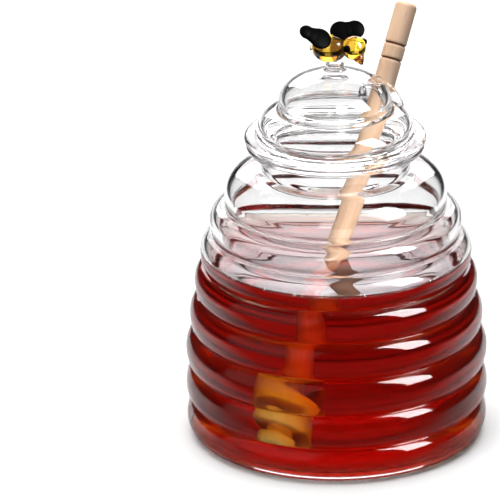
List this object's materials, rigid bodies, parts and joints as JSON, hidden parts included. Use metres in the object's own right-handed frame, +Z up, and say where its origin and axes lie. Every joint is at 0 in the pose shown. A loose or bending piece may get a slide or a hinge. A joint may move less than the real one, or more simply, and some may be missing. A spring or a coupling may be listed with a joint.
{
  "type": "honey jar with dipper",
  "caption": "Ribbed beehive-shaped glass jar of dark honey, with a domed glass lid, a glass bee on top and a wooden honey dipper leaning out through a hole in the lid.",
  "frame": {"origin": "centre of the foot, on the surface that the jar stands on", "axes": "+Z up along the jar's axis; -Y towards the viewer, +X to the viewer's right"},
  "size_m": [0.11, 0.11, 0.1568],
  "materials": {
    "clear_glass": "clear blown glass, fire polished",
    "honey": "dark red transparent honey with a glossy level surface",
    "beech": "pale turned beech, sanded and bare",
    "amber_glass": "amber glass with dark brown bands on the body",
    "pale_glass": "pale yellow clear glass",
    "brown_glass": "brown amber glass",
    "black_glass": "opaque black glass, softly polished"
  },
  "bodies": {
    "root": {"jar": "clear_glass", "lid": "clear_glass", "honey": "honey", "dipper": "beech", "bee_body": "amber_glass", "bee_head": "amber_glass", "bee_tail": "pale_glass", "bee_snout": "brown_glass", "bee_eye_left": "black_glass", "bee_eye_right": "black_glass", "bee_wing_left": "black_glass", "bee_wing_right": "black_glass"}
  },
  "joints": []
}
